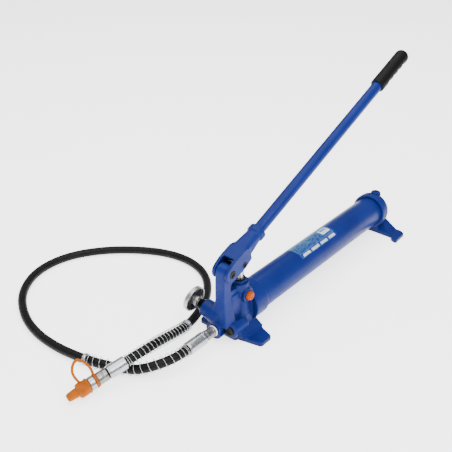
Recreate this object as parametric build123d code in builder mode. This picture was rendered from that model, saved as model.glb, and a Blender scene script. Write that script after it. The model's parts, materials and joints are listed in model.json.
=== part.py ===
"""Hydraulic hand pump with its tank, lever, release valve and outlet hose.

Frame: millimetres, +Z up, +X from the pump head along the tank, floor at Z = 0.
The origin lies on the floor straight below the axis of the pumping piston.
Every separate physical piece is one node, written to parts/NAME.step.
"""

from build123d import *
import os
from math import cos, pi, radians, sin, tan

os.makedirs("parts", exist_ok=True)

# ---------------------------------------------------------------- driving dimensions
FIT = 0.05            # radial clearance of a running fit
GAP = 0.1             # radial clearance of a fixed joint, such as a thread

TUBE_OD = 70.0
TUBE_WALL = 3.5
TUBE_BORE = TUBE_OD / 2 - TUBE_WALL
TANK_Z = 55.5         # height of the tank's axis
TUBE_FRONT = 24.0
TUBE_REAR = 515.0

HEAD_FRONT = 12.0     # front face of the head's flange
FLANGE_R = 39.0
FLANGE_REAR = 48.0
SPIGOT_REAR = 36.0    # rear end of the spigot inside the tube
FOOT_T = 9.0

PISTON_R = 9.0
BOSS_R = 20.0
BOSS_TOP = 116.0

PIN_X = -41.5         # fulcrum pin
PIN_Z = 156.5
PIN_R = 8.0
TONGUE_R = 15.5
CHEEK_R = 17.0        # rounded nose of the lever's cheeks
TONGUE_W = 23.0
FORK_W = 38.0
FORK_SLOT = 24.0
LEVER_DEG = 23.0      # slope of the lever at rest
PISTON_PIN_U = 34.3   # piston pin, along and across the lever from the fulcrum
PISTON_PIN_V = -9.8
PISTON_PIN_R = 6.0
ROD_V = 3.0           # the rod's axis passes this far above the fulcrum
SOCKET_R = 15.5
SOCKET_MOUTH = 109.0
ROD_R = 12.0
ROD_WALL = 2.6
ROD_FROM = 62.0
ROD_TO = 677.0
GRIP_FROM = 564.0
GRIP_TO = 686.0
GRIP_R = 16.0
GRIP_TURN = 52.0      # the grip is pushed on with its finger scallops turned to the near side

VALVE_X = -48.0       # release valve: its axis leans up by VALVE_DEG towards the far side
VALVE_Z = 50.4
VALVE_DEG = 10.0
KNOB_R = 27.0
KNOB_T = 9.5
KNOB_AT = 71.5        # distance of the knob's inner face from the head's middle plane

PORT_Y = 9.0          # hose port
PORT_Z = 28.0
PORT_X = -66.0
ADAPTER_R = 11.0
ADAPTER_END = -92.0
FERRULE_R = 13.0
CAP_R = 14.4
RELIEF_Y = -18.0      # relief valve bore, closed by the front plug
RELIEF_Z = 31.0
RELIEF_X = -50.0
PLUG_R = 11.5
INTAKE_Z = 35.5
GAUGE_X = 2.0         # gauge port, on the viewer's side
GAUGE_Y = -24.0
GAUGE_Z = 90.0

HOSE_R = 9.0
GUARD_R = 11.75
GUARD_BORE = 9.4
FERRULE_A_END = -141.0

REAR_X = 503.0        # front face of the rear cap
REAR_R = 42.0
REAR_BACK = 543.0
DOME_R = 24.0
FILLER_X = 532.0
FILLER_TOP = 93.5

SEAT_X = 26.0         # face of the intake seat
OUTLET_SEAT_X = -38.0
RELIEF_SEAT_X = -20.0
CHECK_BALL_R = 4.5
RELIEF_BALL_R = 3.5

GUARD_A_TO = 205.0    # end of the first spring guard, along the hose
GUARD_B_LEN = 165.0
CLAMP_LEN = 8.0
STRAP_LEAN = 30.0     # the cap's strap stands up and leans to the far side


def save(builder, name):
    """Label one finished piece and write it as its own node."""
    builder.part.label = name
    export_step(builder.part, f"parts/{name}.step")


# ---------------------------------------------------------------- working planes
lever_dir = Vector(cos(radians(LEVER_DEG)), 0, sin(radians(LEVER_DEG)))
fulcrum = Vector(PIN_X, 0, PIN_Z)
lever_side = Plane(origin=fulcrum, x_dir=lever_dir, z_dir=(0, -1, 0))


def across_lever(u):
    """The plane across the rod's axis, u millimetres along the lever from the fulcrum."""
    centre = fulcrum + lever_dir * u + lever_side.y_dir * ROD_V
    return Plane(origin=centre, x_dir=(0, 1, 0), z_dir=lever_dir)


valve_dir = Vector(0, cos(radians(VALVE_DEG)), sin(radians(VALVE_DEG)))


def across_valve(s):
    """The plane across the release valve's axis, s millimetres out from the middle."""
    centre = Vector(VALVE_X, 0, VALVE_Z) + valve_dir * s
    return Plane(origin=centre, x_dir=(1, 0, 0), z_dir=valve_dir)


def across_x(x, y=0.0, z=0.0):
    """A plane across X, facing +X, with its own X along +Y."""
    return Plane(origin=(x, y, z), x_dir=(0, 1, 0), z_dir=(1, 0, 0))


gauge_face = Plane(origin=(GAUGE_X, GAUGE_Y, GAUGE_Z), z_dir=(0, -1, 0))


def bore(plane, radius, depth):
    """Drill a round hole into the piece being built, from plane along its normal."""
    with BuildSketch(plane) as mouth:
        Circle(radius)
    extrude(mouth.sketch, amount=depth, mode=Mode.SUBTRACT)


# ================================================================ pump head
with BuildPart() as pump_body:
    # foot plate: tapered feet with rounded toes, the far one set further forward
    with BuildSketch():
        with BuildLine():
            Polyline((-33, -12), (-19, -73), (14, -73), (34, -12), (30, 26),
                     (4, 72), (-36, 72), (-38, 12), close=True)
        make_face()
        fillet(vertices().filter_by(lambda v: abs(v.Y) > 70), 7)
    extrude(amount=FOOT_T)
    # root of the feet, sloping up into the block
    with BuildSketch(Plane.XY.offset(FOOT_T)):
        with Locations((-2, 0)):
            Rectangle(62, 84)
    with BuildSketch(Plane.XY.offset(30)):
        with Locations((-4, 0)):
            Rectangle(52, 50)
    loft()
    # block under the pump chamber, between the ports and the flange
    with BuildSketch(Plane.XY.offset(2)):
        with Locations((-9, 0)):
            RectangleRounded(62, 52, 8)
    extrude(amount=46)
    # neck that carries the chamber and meets the flange
    with BuildSketch(Plane.XY.offset(40)):
        with Locations((-9, 0)):
            RectangleRounded(58, 30, 6)
    extrude(amount=62)
    with BuildSketch(Plane.XY.offset(76)):
        Circle(BOSS_R)
    extrude(amount=BOSS_TOP - 76)
    # full sides of the chamber, drawn in towards the top
    with BuildSketch(Plane.XY.offset(44)):
        with Locations((3, 0)):
            RectangleRounded(42, 50, 10)
    with BuildSketch(Plane.XY.offset(96)):
        with Locations((6, 0)):
            RectangleRounded(36, 41, 10)
    loft()
    # flange that takes the tank tube
    with BuildSketch(across_x(HEAD_FRONT, 0, TANK_Z)):
        Circle(FLANGE_R)
    extrude(amount=FLANGE_REAR - HEAD_FRONT)
    # hose port boss and relief valve boss, side by side
    with BuildSketch(across_x(PORT_X, PORT_Y, PORT_Z)):
        Circle(19.5)
    extrude(amount=50)
    with BuildSketch(across_x(RELIEF_X, RELIEF_Y, RELIEF_Z)):
        Circle(17.5)
    extrude(amount=40)
    # post with the fulcrum tongue, and its flared root
    with BuildSketch(Plane.XZ):
        with BuildLine():
            Polyline((-58, 30), (-37, 30), (-37, PIN_Z - 34), (PIN_X + TONGUE_R, PIN_Z - 10),
                     (PIN_X + TONGUE_R, PIN_Z))
            ThreePointArc((PIN_X + TONGUE_R, PIN_Z), (PIN_X, PIN_Z + TONGUE_R),
                          (PIN_X - TONGUE_R, PIN_Z))
            Polyline((PIN_X - TONGUE_R, PIN_Z), (-58, PIN_Z - 20), (-58, 30))
        make_face()
    extrude(amount=TONGUE_W / 2, both=True)
    with BuildSketch(Plane.XY.offset(42)):
        with Locations((-48, 0)):
            Rectangle(30, 44)
    with BuildSketch(Plane.XY.offset(96)):
        with Locations((-47.5, 0)):
            Rectangle(21, TONGUE_W)
    loft()
    # web between post and chamber
    with BuildSketch(Plane.XZ):
        Polygon((-40, 40), (-10, 40), (-10, 110), (-38, 114), align=None)
    extrude(amount=TONGUE_W / 2, both=True)
    # release valve boss, tapering outwards
    with BuildSketch(across_valve(4)):
        Circle(21)
    with BuildSketch(across_valve(47)):
        Circle(17.5)
    loft()
    # pad for the gauge port
    with BuildSketch(gauge_face):
        Circle(15.5)
    extrude(amount=GAUGE_Y)

    # ---- machined bores: chamber and its gland, fulcrum and its cross hole
    bore(Plane.XY.offset(24), PISTON_R + FIT, BOSS_TOP - 24)
    bore(Plane.XY.offset(84), 14 + GAP, BOSS_TOP - 84)
    bore(Plane.XZ.offset(-TONGUE_W / 2).shift_origin((PIN_X, TONGUE_W / 2, PIN_Z)), PIN_R + FIT, TONGUE_W)
    bore(across_x(PIN_X - 15, 0, PIN_Z), 2 + GAP, 30)
    # tank socket round an inner spigot with a seal groove
    with BuildSketch(across_x(TUBE_FRONT, 0, TANK_Z)):
        Circle(TUBE_OD / 2 + GAP)
        Circle(TUBE_BORE - GAP, mode=Mode.SUBTRACT)
    extrude(amount=FLANGE_REAR - TUBE_FRONT, mode=Mode.SUBTRACT)
    bore(across_x(SPIGOT_REAR, 0, TANK_Z), TUBE_BORE, FLANGE_REAR - SPIGOT_REAR)
    with BuildSketch(across_x(TUBE_FRONT + 4, 0, TANK_Z)):
        Circle(TUBE_BORE)
        Circle(TUBE_BORE - 3.2, mode=Mode.SUBTRACT)
    extrude(amount=4, mode=Mode.SUBTRACT)
    # tie rod thread in the spigot
    bore(across_x(TUBE_FRONT - 6, 0, TANK_Z), 5 + GAP, 20)
    # intake, from the tank to the chamber
    bore(across_x(0, 0, INTAKE_Z), 2.5, 20)
    bore(across_x(13, 0, INTAKE_Z), 6, 20)
    bore(across_x(SEAT_X, 0, INTAKE_Z), 7 + GAP, 20)
    # outlet, from the chamber to the hose port
    bore(across_x(-30, 0, PORT_Z), 2.5, 30)
    bore(across_x(OUTLET_SEAT_X - 1, PORT_Y, PORT_Z), 2.5, 13)
    bore(Plane(origin=(-28, 0, PORT_Z), z_dir=(0, 1, 0)), 2.5, PORT_Y)
    bore(across_x(PORT_X, PORT_Y, PORT_Z), 7 + GAP, OUTLET_SEAT_X - PORT_X)
    # relief valve, joined to the chamber by a drilling, with a spot face for its plug
    bore(across_x(RELIEF_SEAT_X - 1, RELIEF_Y, RELIEF_Z), 2, 11)
    bore(Plane(origin=(-12, 0, RELIEF_Z), z_dir=(0, -1, 0)), 2, -RELIEF_Y)
    bore(across_x(RELIEF_X, RELIEF_Y, RELIEF_Z), 7 + GAP, RELIEF_SEAT_X - RELIEF_X)
    bore(across_x(PORT_X, RELIEF_Y, RELIEF_Z), PLUG_R + 0.5, RELIEF_X - PORT_X)
    # release valve, opening into the chamber's outlet side
    bore(across_valve(10), 5 + FIT, 40)
    bore(across_valve(38), 9 + GAP, 12)
    # gauge port
    bore(Plane(origin=gauge_face.origin, z_dir=(0, 1, 0)), 6.5 + GAP, 8)
save(pump_body, "pump_body")

# ================================================================ tank
with BuildPart() as reservoir_tube:
    with BuildSketch(across_x(TUBE_FRONT, 0, TANK_Z)):
        Circle(TUBE_OD / 2)
        Circle(TUBE_OD / 2 - TUBE_WALL, mode=Mode.SUBTRACT)
    extrude(amount=TUBE_REAR - TUBE_FRONT)
save(reservoir_tube, "reservoir_tube")

with BuildPart() as tank_label:
    # thin sticker wrapped round the upper side of the tube
    with BuildSketch(across_x(185, 0, TANK_Z)):
        with BuildLine():
            inside = CenterArc((0, 0), TUBE_OD / 2 + 0.05, 64, 70)
            outside = CenterArc((0, 0), TUBE_OD / 2 + 0.3, 64, 70)
            Line(inside @ 0, outside @ 0)
            Line(inside @ 1, outside @ 1)
        make_face()
    extrude(amount=136)
save(tank_label, "tank_label")


def seal_ring(x, y, z, outer, inner, width):
    """A plain square-section ring across X, starting at x."""
    with BuildPart() as ring:
        with BuildSketch(across_x(x, y, z)):
            Circle(outer)
            Circle(inner, mode=Mode.SUBTRACT)
        extrude(amount=width)
    return ring


save(seal_ring(TUBE_FRONT + 4.2, 0, TANK_Z, TUBE_BORE - GAP, TUBE_BORE - 3.1, 3.6), "front_tank_seal")
save(seal_ring(REAR_X + 4.2, 0, TANK_Z, TUBE_OD / 2 + 2.6, TUBE_OD / 2 + GAP, 3.6), "rear_tank_seal")

with BuildPart() as rear_cap:
    with BuildSketch(across_x(REAR_X, 0, TANK_Z)):
        Circle(REAR_R)
    extrude(amount=REAR_BACK - REAR_X)
    fillet(edges().filter_by(GeomType.CIRCLE).sort_by(Axis.X)[-1], DOME_R)
    # pedestal under the cap and the feet with their forward toes
    with BuildSketch(Plane.XY.offset(2)):
        with Locations((528, 0)):
            Rectangle(32, 56)
    with BuildSketch(Plane.XY.offset(40)):
        with Locations((526, 0)):
            Rectangle(28, 44)
    loft()
    with BuildSketch():
        with BuildLine():
            Polyline((512, 0), (512, -62), (500, -72), (496, -86), (540, -84), (547, -74),
                     (549, -14), (549, 0))
            mirror(about=Plane.XZ)
        make_face()
        fillet(vertices().filter_by(lambda v: abs(v.Y) > 80), 4)
    extrude(amount=FOOT_T)
    # rib along the feet, sloping at the front
    with BuildSketch(Plane.XY.offset(FOOT_T)):
        with Locations((529.5, 0)):
            Rectangle(35, 120)
    with BuildSketch(Plane.XY.offset(34)):
        with Locations((536, 0)):
            Rectangle(18, 48)
    loft()
    # filler boss on top
    with BuildSketch(Plane.XY.offset(TANK_Z + 20)):
        with Locations((FILLER_X, 0)):
            Circle(12.5)
    extrude(amount=FILLER_TOP - TANK_Z - 20)
    # tube socket with its seal groove, oil space, filler and tie rod holes
    bore(across_x(REAR_X, 0, TANK_Z), TUBE_OD / 2 + GAP, TUBE_REAR + 0.2 - REAR_X)
    bore(across_x(REAR_X + 4, 0, TANK_Z), TUBE_OD / 2 + 2.7, 4)
    bore(across_x(TUBE_REAR, 0, TANK_Z), 23, 20)
    bore(Plane(origin=(FILLER_X, 0, FILLER_TOP)), 12, 8)
    bore(Plane(origin=(FILLER_X, 0, FILLER_TOP - 12)), 6 + GAP, 12)
    bore(Plane(origin=(FILLER_X, 0, FILLER_TOP - 32)), 4, 20)
    bore(across_x(TUBE_REAR, 0, TANK_Z), 5 + GAP, 40)
save(rear_cap, "rear_cap")

with BuildPart() as filler_plug:
    with BuildSketch(Plane.XY.offset(FILLER_TOP + 1)):
        with Locations((FILLER_X, 0)):
            Circle(11.5)
    extrude(amount=4)
    fillet(edges().filter_by(GeomType.CIRCLE).sort_by(Axis.Z)[-1], 1)
    with BuildSketch(Plane.XY.offset(FILLER_TOP - 10)):
        with Locations((FILLER_X, 0)):
            Circle(6)
    extrude(amount=11)
    with BuildSketch(Plane.XY.offset(FILLER_TOP)):
        with Locations((FILLER_X, 0)):
            RegularPolygon(4, 6)
    extrude(amount=5, mode=Mode.SUBTRACT)
save(filler_plug, "filler_plug")

with BuildPart() as filler_seal:
    with BuildSketch(Plane.XY.offset(FILLER_TOP)):
        with Locations((FILLER_X, 0)):
            Circle(11)
            Circle(6 + GAP, mode=Mode.SUBTRACT)
    extrude(amount=1)
save(filler_seal, "filler_seal")

with BuildPart() as tie_rod:
    with BuildSketch(across_x(TUBE_FRONT - 6, 0, TANK_Z)):
        Circle(5)
    extrude(amount=REAR_BACK + 20 - TUBE_FRONT)
save(tie_rod, "tie_rod")

with BuildPart() as tie_rod_washer:
    with BuildSketch(across_x(REAR_BACK, 0, TANK_Z)):
        Circle(10)
        Circle(5 + GAP, mode=Mode.SUBTRACT)
    extrude(amount=2)
save(tie_rod_washer, "tie_rod_washer")

with BuildPart() as tie_rod_nut:
    with BuildSketch(across_x(REAR_BACK + 2, 0, TANK_Z)):
        RegularPolygon(8.5, 6, major_radius=False)
        Circle(5 + GAP, mode=Mode.SUBTRACT)
    extrude(amount=8)
save(tie_rod_nut, "tie_rod_nut")

# ================================================================ valves
with BuildPart() as intake_seat:
    with BuildSketch(across_x(SEAT_X, 0, INTAKE_Z)):
        Circle(7)
        Circle(3, mode=Mode.SUBTRACT)
    extrude(amount=16)
save(intake_seat, "intake_seat")

with BuildPart() as suction_filter:
    # closed mesh thimble on the seat's end
    with BuildSketch(across_x(SEAT_X + 12, 0, INTAKE_Z)):
        Circle(9)
    extrude(amount=30)
    with BuildSketch(across_x(SEAT_X + 12, 0, INTAKE_Z)):
        Circle(7 + GAP)
    extrude(amount=28, mode=Mode.SUBTRACT)
save(suction_filter, "suction_filter")


def ball(centre, radius):
    """A check ball."""
    with BuildPart() as sphere:
        with Locations(centre):
            Sphere(radius)
    return sphere


def coil_spring(x_from, x_to, y, z, radius, wire, turns):
    """A compression spring along X between two faces."""
    height = x_to - x_from - 2 * wire
    with BuildPart() as spring:
        with BuildLine() as coil:
            Helix(height / turns, height, radius, center=(x_from + wire, y, z), direction=(1, 0, 0))
        with BuildSketch(Plane(origin=coil.line @ 0, z_dir=coil.line % 0)):
            Circle(wire)
        sweep(path=coil.line, is_frenet=True)
    return spring


intake_x = SEAT_X - 3.6
save(ball((intake_x, 0, INTAKE_Z), CHECK_BALL_R), "intake_ball")
save(coil_spring(13.1, intake_x - 3.65, 0, INTAKE_Z, 3.2, 0.4, 4), "intake_spring")

outlet_x = OUTLET_SEAT_X - 4.0
save(ball((outlet_x, PORT_Y, PORT_Z), CHECK_BALL_R), "outlet_ball")
save(coil_spring(-53.9, outlet_x - 3.65, PORT_Y, PORT_Z, 3.2, 0.4, 5), "outlet_spring")

relief_x = RELIEF_SEAT_X - 3.1
save(ball((relief_x, RELIEF_Y, RELIEF_Z), RELIEF_BALL_R), "relief_ball")
save(coil_spring(-38.9, relief_x - 2.5, RELIEF_Y, RELIEF_Z, 3.2, 0.6, 6), "relief_spring")

with BuildPart() as relief_screw:
    with BuildSketch(across_x(-44.0, RELIEF_Y, RELIEF_Z)):
        Circle(7)
    extrude(amount=5)
    with BuildSketch(across_x(-44.0, RELIEF_Y, RELIEF_Z)):
        Rectangle(10, 1.6)
    extrude(amount=1.5, mode=Mode.SUBTRACT)
save(relief_screw, "relief_screw")

with BuildPart() as front_plug:
    # moulded plug that covers the relief valve's adjusting screw
    with BuildSketch(across_x(RELIEF_X, RELIEF_Y, RELIEF_Z)):
        Circle(7)
    extrude(amount=5)
    with BuildSketch(across_x(RELIEF_X, RELIEF_Y, RELIEF_Z)):
        Circle(PLUG_R)
    extrude(amount=-2.5)
    fillet(edges().filter_by(GeomType.CIRCLE).sort_by(Axis.X)[0], 1.2)
save(front_plug, "front_plug")

with BuildPart() as gauge_port_plug:
    # bright moulded plug with a domed head
    with BuildSketch(gauge_face):
        Circle(6.5)
    extrude(amount=-7)
    with BuildSketch(gauge_face):
        Circle(9.5)
    extrude(amount=8)
    fillet(edges().filter_by(GeomType.CIRCLE).sort_by(Axis.Y)[0], 3)
save(gauge_port_plug, "gauge_port_plug")

# ================================================================ piston and gland
with BuildPart() as gland_seal:
    with BuildSketch(Plane.XY.offset(84)):
        Circle(14)
        Circle(PISTON_R + FIT, mode=Mode.SUBTRACT)
    extrude(amount=7)
save(gland_seal, "gland_seal")

with BuildPart() as gland_nut:
    with BuildSketch(Plane.XY.offset(91)):
        Circle(14)
    extrude(amount=BOSS_TOP - 91)
    with BuildSketch(Plane.XY.offset(BOSS_TOP)):
        RegularPolygon(14.5, 6, major_radius=False)
    extrude(amount=4)
    with BuildSketch(Plane.XY.offset(91)):
        Circle(PISTON_R + FIT)
    extrude(amount=30, mode=Mode.SUBTRACT)
    with BuildSketch(Plane.XY.offset(BOSS_TOP)):
        Circle(12 + GAP)
    extrude(amount=10, mode=Mode.SUBTRACT)
save(gland_nut, "gland_nut")

with BuildPart() as wiper_ring:
    with BuildSketch(Plane.XY.offset(BOSS_TOP)):
        Circle(12)
        Circle(PISTON_R + FIT, mode=Mode.SUBTRACT)
    extrude(amount=3.5)
save(wiper_ring, "wiper_ring")

piston_pin = fulcrum + lever_dir * PISTON_PIN_U + lever_side.y_dir * PISTON_PIN_V
EYE_LEFT = -22.5
EYE_RIGHT = 6.5
SLOT_LEFT = -19.0
SLOT_RIGHT = 1.0
with BuildPart() as piston:
    with BuildSketch(Plane.XY.offset(62)):
        Circle(PISTON_R)
    extrude(amount=piston_pin.Z - 8 - 62)
    chamfer(edges().filter_by(GeomType.CIRCLE).sort_by(Axis.Z)[0], 1)
    # eye with the cross slot that lets the pin swing on its arc
    with BuildSketch(Plane.XZ):
        with Locations(((EYE_LEFT + EYE_RIGHT) / 2, piston_pin.Z)):
            RectangleRounded(EYE_RIGHT - EYE_LEFT, 21, 3)
    extrude(amount=11, both=True)
    with BuildSketch(Plane.XZ):
        with Locations(((SLOT_LEFT + SLOT_RIGHT) / 2, piston_pin.Z)):
            SlotOverall(SLOT_RIGHT - SLOT_LEFT, 2 * (PISTON_PIN_R + 1))
    extrude(amount=12, both=True, mode=Mode.SUBTRACT)
save(piston, "piston")

with BuildPart() as piston_cup:
    with BuildSketch(Plane.XY.offset(57)):
        Circle(PISTON_R)
    extrude(amount=5)
save(piston_cup, "piston_cup")

# ================================================================ lever
cheek_face = Plane(origin=fulcrum - Vector(0, FORK_W / 2, 0), z_dir=(0, 1, 0))
screw_seat = Plane(origin=across_lever(84).origin - lever_side.y_dir * (ROD_R + FIT),
                   z_dir=-lever_side.y_dir)
with BuildPart() as handle_socket:
    with BuildSketch(lever_side):
        with BuildLine():
            Polyline((0, -CHEEK_R), (34, -19.5), (57, -15), (60, 13), (48, 19.5), (13, 20.5))
            Line((13, 20.5), (-3, CHEEK_R))
            RadiusArc((-3, CHEEK_R), (-CHEEK_R, 0), -CHEEK_R)
            RadiusArc((-CHEEK_R, 0), (0, -CHEEK_R), -CHEEK_R)
        make_face()
    extrude(amount=FORK_W / 2, both=True)
    fillet(edges().filter_by(Axis.Y).group_by(SortBy.LENGTH)[-1].sort_by(Axis.X)[-3:], 3)
    # shoulder that tapers from the square block to the round socket
    with BuildSketch(across_lever(46)):
        RectangleRounded(36, 32, 8)
    with BuildSketch(across_lever(90)):
        RectangleRounded(2 * SOCKET_R, 2 * SOCKET_R, SOCKET_R - 0.5)
    loft()
    with BuildSketch(across_lever(60)):
        Circle(SOCKET_R)
    extrude(amount=SOCKET_MOUTH - 60)
    with BuildSketch(across_lever(SOCKET_MOUTH - 13)):
        Circle(SOCKET_R + 2.5)
    extrude(amount=13)
    # gap between the cheeks: open at the front, roofed over the piston's eye
    with BuildSketch(lever_side):
        with Locations((-2, 0)):
            Rectangle(44, 60)
        with Locations((35, -14)):
            Rectangle(42, 50)
    extrude(amount=FORK_SLOT / 2, both=True, mode=Mode.SUBTRACT)
    # pin bores, rod bore and set screw hole
    bore(cheek_face, PIN_R + FIT, FORK_W)
    bore(Plane(origin=piston_pin - Vector(0, FORK_W / 2, 0), z_dir=(0, 1, 0)), PISTON_PIN_R + GAP, FORK_W)
    bore(across_lever(ROD_FROM - 1), ROD_R + GAP, SOCKET_MOUTH + 1 - ROD_FROM)
    bore(screw_seat, 3 + GAP, SOCKET_R)
save(handle_socket, "handle_socket")

with BuildPart() as handle_rod:
    with BuildSketch(across_lever(ROD_FROM)):
        Circle(ROD_R)
        Circle(ROD_R - ROD_WALL, mode=Mode.SUBTRACT)
    extrude(amount=ROD_TO - ROD_FROM)
save(handle_rod, "handle_rod")

with BuildPart() as socket_set_screw:
    with BuildSketch(screw_seat):
        Circle(3)
    extrude(amount=7)
save(socket_set_screw, "socket_set_screw")

grip_back = lever_side.y_dir * cos(radians(GRIP_TURN)) + Vector(0, 1, 0) * sin(radians(GRIP_TURN))
grip_side = Plane(origin=across_lever(0).origin, x_dir=lever_dir, z_dir=lever_dir.cross(grip_back))
with BuildPart() as grip:
    with BuildSketch(across_lever(GRIP_FROM)):
        Circle(GRIP_R)
    extrude(amount=GRIP_TO - GRIP_FROM)
    fillet(edges().filter_by(GeomType.CIRCLE).sort_by(Axis.X)[-1], 12)
    fillet(edges().filter_by(GeomType.CIRCLE).sort_by(Axis.X)[0], 2)
    # finger scallops along one side
    with BuildSketch(grip_side):
        for k in range(4):
            with Locations((GRIP_FROM + 34 + 20 * k, -GRIP_R - 13)):
                Circle(16)
    extrude(amount=GRIP_R + 2, both=True, mode=Mode.SUBTRACT)
    bore(across_lever(GRIP_FROM), ROD_R + GAP, ROD_TO + 0.2 - GRIP_FROM)
save(grip, "grip")

with BuildPart() as fulcrum_pin:
    with BuildSketch(Plane(origin=fulcrum, z_dir=(0, -1, 0))):
        Circle(PIN_R)
    extrude(amount=FORK_W / 2 + 0.5, both=True)
    chamfer(edges().filter_by(GeomType.CIRCLE), 1)
    with BuildSketch(across_x(PIN_X, 0, PIN_Z)):
        Circle(2 + GAP)
    extrude(amount=15, both=True, mode=Mode.SUBTRACT)
save(fulcrum_pin, "fulcrum_pin")

with BuildPart() as fulcrum_roll_pin:
    with BuildSketch(across_x(PIN_X, 0, PIN_Z)):
        Circle(2)
    extrude(amount=14, both=True)
save(fulcrum_roll_pin, "fulcrum_roll_pin")

with BuildPart() as piston_pin_part:
    with BuildSketch(Plane(origin=piston_pin, z_dir=(0, -1, 0))):
        Circle(PISTON_PIN_R)
    extrude(amount=FORK_W / 2 + 0.5, both=True)
    chamfer(edges().filter_by(GeomType.CIRCLE), 1)
save(piston_pin_part, "piston_pin")

# ================================================================ release valve
with BuildPart() as release_gland:
    with BuildSketch(across_valve(38)):
        Circle(9)
    extrude(amount=9)
    with BuildSketch(across_valve(47)):
        Circle(14.5)
    with BuildSketch(across_valve(60)):
        Circle(9)
    loft()
    bore(across_valve(38), 5 + FIT, 23)
save(release_gland, "release_gland")

with BuildPart() as release_stem:
    with BuildSketch(across_valve(12)):
        Circle(5)
    extrude(amount=KNOB_AT + KNOB_T - 2.2 - 12)
    chamfer(edges().filter_by(GeomType.CIRCLE).sort_by(Axis.Y)[0], 4)
    with BuildSketch(across_valve(28)):
        Circle(5.5)
        Circle(3.8, mode=Mode.SUBTRACT)
    extrude(amount=2.6, mode=Mode.SUBTRACT)
save(release_stem, "release_stem")

with BuildPart() as stem_oring:
    with BuildSketch(across_valve(28.2)):
        Circle(5)
        Circle(3.9, mode=Mode.SUBTRACT)
    extrude(amount=2.2)
save(stem_oring, "stem_oring")

with BuildPart() as release_knob:
    # wheel with a deep ring-shaped recess on its inner side, round a long hub
    with BuildSketch(across_valve(KNOB_AT)):
        Circle(KNOB_R)
    extrude(amount=KNOB_T)
    with BuildSketch(across_valve(KNOB_AT)):
        Circle(KNOB_R - 3)
        Circle(11, mode=Mode.SUBTRACT)
    extrude(amount=KNOB_T - 3, mode=Mode.SUBTRACT)
    with BuildSketch(across_valve(KNOB_AT - 8)):
        Circle(11)
    extrude(amount=8)
    bore(across_valve(KNOB_AT - 8), 5 + GAP, KNOB_T + 6)
    bore(Plane(origin=across_valve(KNOB_AT - 4).origin, z_dir=(-1, 0, 0)), 2 + GAP, 12)
save(release_knob, "release_knob")

with BuildPart() as knob_set_screw:
    with BuildSketch(Plane(origin=across_valve(KNOB_AT - 4).origin - Vector(5.1, 0, 0),
                           z_dir=(-1, 0, 0))):
        Circle(2)
    extrude(amount=5)
save(knob_set_screw, "knob_set_screw")

# ================================================================ hose, first end
with BuildPart() as port_seal:
    with BuildSketch(across_x(PORT_X, PORT_Y, PORT_Z)):
        Circle(11.5)
        Circle(7 + GAP, mode=Mode.SUBTRACT)
    extrude(amount=-3)
save(port_seal, "port_seal")

with BuildPart() as hose_adapter:
    # threaded tail, and a plain neck with its shoulder against the seal
    with BuildSketch(across_x(-54, PORT_Y, PORT_Z)):
        Circle(7)
    extrude(amount=-15)
    with BuildSketch(across_x(PORT_X - 3, PORT_Y, PORT_Z)):
        Circle(ADAPTER_R)
    extrude(amount=ADAPTER_END - PORT_X + 3)
    bore(across_x(ADAPTER_END, PORT_Y, PORT_Z), 2.6, -54 - ADAPTER_END)
save(hose_adapter, "hose_adapter")

with BuildPart() as ferrule_a:
    # crimped sleeve with a coned shoulder
    with BuildSketch(across_x(ADAPTER_END, PORT_Y, PORT_Z)):
        Circle(ADAPTER_R)
    with BuildSketch(across_x(ADAPTER_END - 4, PORT_Y, PORT_Z)):
        Circle(FERRULE_R)
    loft()
    with BuildSketch(across_x(ADAPTER_END - 4, PORT_Y, PORT_Z)):
        Circle(FERRULE_R)
    extrude(amount=FERRULE_A_END - ADAPTER_END + 4)
save(ferrule_a, "ferrule_a")

# ================================================================ the hose
# Centre line, from the first ferrule round the loop on the floor to the second ferrule.
HOSE_ROUTE = [
    (FERRULE_A_END, PORT_Y, PORT_Z),
    (-156, 9, 28),
    (-173, 11.6, 27.6),
    (-190, 17.7, 26),
    (-205.5, 27, 23.2),
    (-219.3, 39.6, 18.8),
    (-230.6, 56, 13.2),
    (-241.5, 77, 11.9),
    (-254.5, 105, 12),
    (-265.5, 136, 12),
    (-274, 172, 11.4),
    (-280, 222, 9.3),
    (-279, 286, 9.3),
    (-260, 354, 9.3),
    (-215, 424, 9.3),
    (-146, 467, 9.3),
    (-66, 467, 9.3),
    (7, 426, 9.3),
    (65, 362, 9.3),
    (103, 292, 9.3),
    (110, 222, 9.3),
    (86, 159, 9.3),
    (32, 110, 9.3),
    (-28, 83, 12.5),
    (-78, 67.5, 17.6),
    (-118, 63.8, 25),
    (-150, 60.7, 33),
    (-177, 58, 38.5),
    (-201, 57.2, 41),
    (-223, 59.6, 40.6),
    (-243.7, 64.9, 36.1),
]


def tangent_arcs(points):
    """Radii of the arcs at the inner points: 0.45 of the shorter run over tan of half the turn."""
    radii = []
    for before, here, after in zip(points, points[1:], points[2:]):
        run_in = Vector(*here) - Vector(*before)
        run_out = Vector(*after) - Vector(*here)
        half_turn = radians(run_in.get_angle(run_out)) / 2
        radii.append(0.45 * min(run_in.length, run_out.length) / tan(half_turn))
    return radii


hose_radii = tangent_arcs(HOSE_ROUTE)
print("hose arc radii", [round(radius) for radius in hose_radii])
with BuildLine() as hose_line:
    FilletPolyline(*HOSE_ROUTE, radius=hose_radii)
hose_wire = hose_line.wire()
hose_length = hose_wire.length
print("hose length", round(hose_length, 1))


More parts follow.
